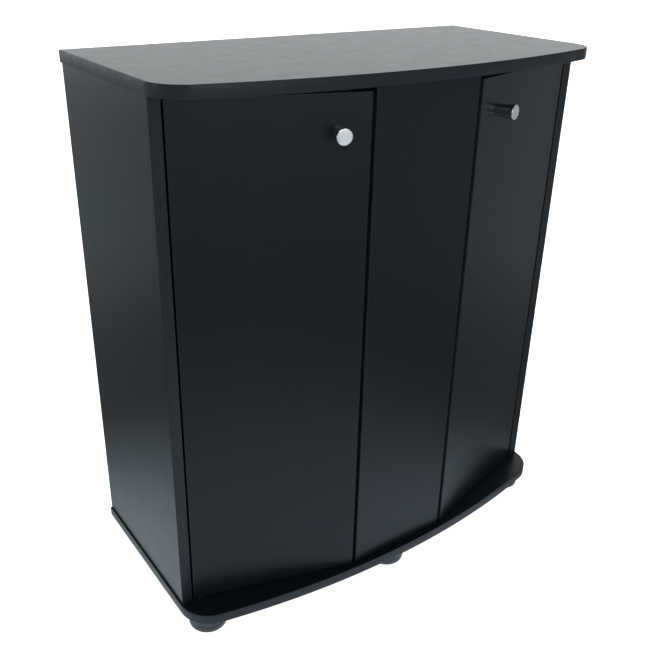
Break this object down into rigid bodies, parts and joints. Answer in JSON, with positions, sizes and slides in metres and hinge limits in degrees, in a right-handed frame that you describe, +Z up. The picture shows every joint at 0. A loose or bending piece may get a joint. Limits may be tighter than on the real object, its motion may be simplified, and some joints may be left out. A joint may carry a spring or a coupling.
{
  "type": "aquarium stand",
  "caption": "Flat-pack aquarium stand with a bow-front top and base, two angled hinged doors around a fixed centre panel, conical knobs and round feet.",
  "frame": {"origin": "on the floor, in the middle of the bounding box", "axes": "+Z up, -Y towards the bow front and the doors, +X to the right seen from the front"},
  "size_m": [0.7, 0.355, 0.79],
  "materials": {
    "melamine_board": "satin black melamine on chipboard",
    "edge_band": "satin, finely speckled",
    "hardboard": "matt black painted face",
    "knob_metal": "turned and satin plated",
    "zinc_steel": "bright zinc",
    "cam_zinc": "die-cast",
    "beech": "plain beech",
    "foot_plastic": "satin moulded",
    "nylon": "black nylon",
    "catch_plastic": "fine moulded texture",
    "magnet": "dull ferrite"
  },
  "bodies": {
    "cabinet": {"top_panel": "melamine_board", "top_edge_band": "edge_band", "base_panel": "melamine_board", "base_edge_band": "edge_band", "left_side_panel": "melamine_board", "right_side_panel": "melamine_board", "left_side_edge_band": "edge_band", "right_side_edge_band": "edge_band", "centre_front_panel": "melamine_board", "centre_panel_edge_bands": "edge_band", "centre_divider": "melamine_board", "back_panel": "hardboard", "back_panel_nails": "zinc_steel", "left_rear_rail": "melamine_board", "right_rear_rail": "melamine_board", "left_shelf": "melamine_board", "right_shelf": "melamine_board", "shelf_edge_bands": "edge_band", "shelf_pins": "zinc_steel", "cam_locks": "cam_zinc", "cam_bolts": "zinc_steel", "dowels": "beech", "feet": "foot_plastic", "foot_screws": "zinc_steel", "pivot_bushes": "nylon", "catch_housings": "catch_plastic", "catch_magnets": "magnet", "catch_screws": "zinc_steel"},
    "left_door": {"left_door_panel": "melamine_board", "left_door_edge_band": "edge_band", "left_knob": "knob_metal", "left_knob_screw": "zinc_steel", "left_pivot_pins": "zinc_steel", "left_strike_plate": "zinc_steel", "left_strike_screw": "zinc_steel"},
    "right_door": {"right_door_panel": "melamine_board", "right_door_edge_band": "edge_band", "right_knob": "knob_metal", "right_knob_screw": "zinc_steel", "right_pivot_pins": "zinc_steel", "right_strike_plate": "zinc_steel", "right_strike_screw": "zinc_steel"}
  },
  "joints": [
    {"name": "left_door_hinge", "type": "hinge", "parent": "cabinet", "child": "left_door", "pos_m": [-0.31867, -0.08733, 0.41], "axis": [0, 0, -1], "range_deg": [0, 110]},
    {"name": "right_door_hinge", "type": "hinge", "parent": "cabinet", "child": "right_door", "pos_m": [0.31867, -0.08733, 0.41], "axis": [0, 0, 1], "range_deg": [0, 110]}
  ]
}
